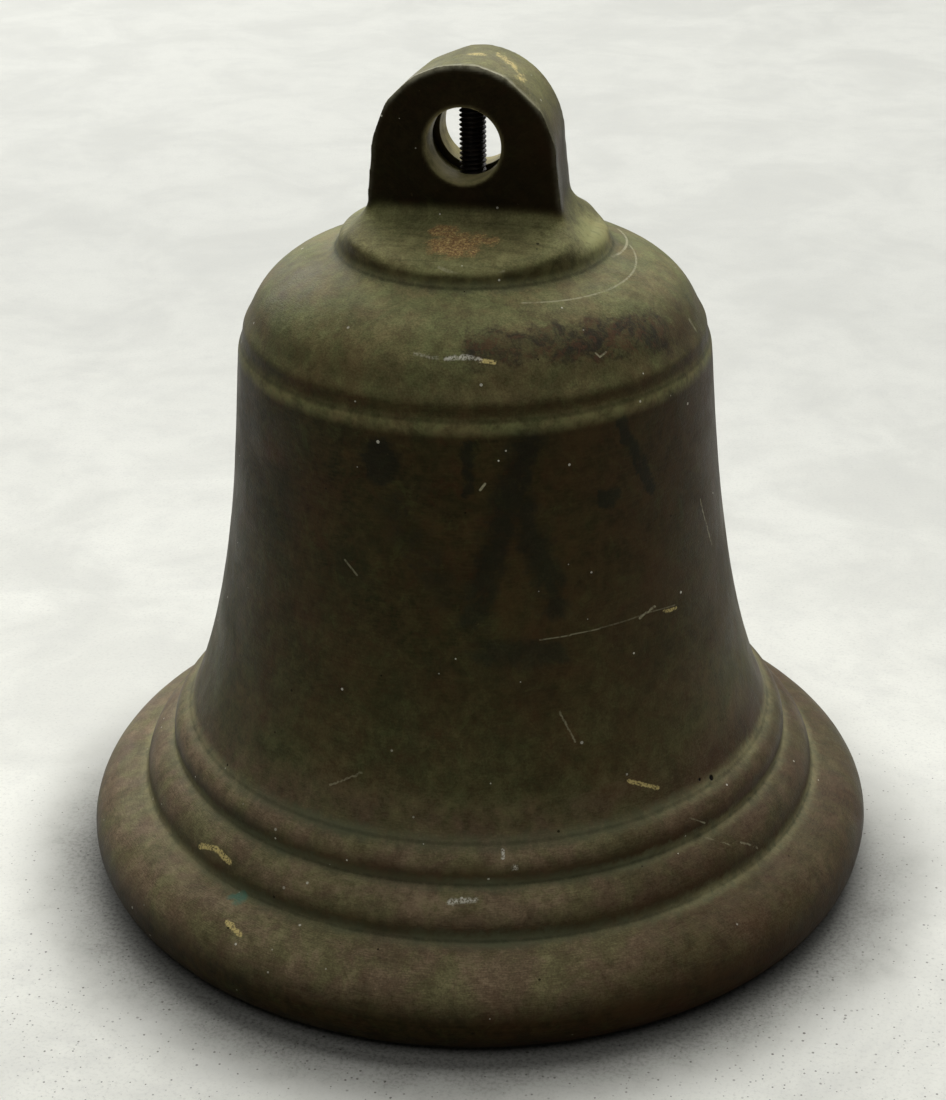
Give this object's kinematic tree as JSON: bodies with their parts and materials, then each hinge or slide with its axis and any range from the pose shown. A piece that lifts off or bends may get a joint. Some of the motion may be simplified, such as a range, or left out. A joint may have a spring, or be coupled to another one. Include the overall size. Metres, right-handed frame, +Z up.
{
  "type": "ship bell",
  "caption": "Cast bronze ship bell with rolled lip, two beads, round shoulder, pierced hanging lug and a pinned swinging clapper.",
  "frame": {"origin": "centre of the flat rim that the bell stands on", "axes": "+Z up along the bell's axis; the lug's cross bore runs along Y, so the lug's broad faces look to -Y and +Y; the clapper swings in the XZ plane"},
  "size_m": [0.254, 0.254, 0.2605],
  "materials": {
    "bell_bronze": "dark olive-brown patina over cast bronze",
    "clapper_bronze": "dull worn bronze",
    "steel": "dark oiled steel, lightly rusted"
  },
  "bodies": {
    "bell": {"bell_casting": "bell_bronze", "threaded_stud": "steel", "crown_washer": "clapper_bronze", "crown_lock_washer": "steel", "crown_nut": "steel", "clevis_lock_nut": "steel", "clapper_clevis": "steel", "clevis_pin": "steel", "pin_washer": "steel", "pin_cotter": "steel"},
    "clapper": {"clapper_stem": "steel", "clapper_ball": "clapper_bronze", "tail_eye": "clapper_bronze", "tail_pin": "steel"}
  },
  "joints": [
    {"name": "clapper_swing", "type": "hinge", "parent": "bell", "child": "clapper", "pos_m": [0, 0, 0.152], "axis": [0, 1, 0], "range_deg": [-33.9, 33.9]}
  ]
}
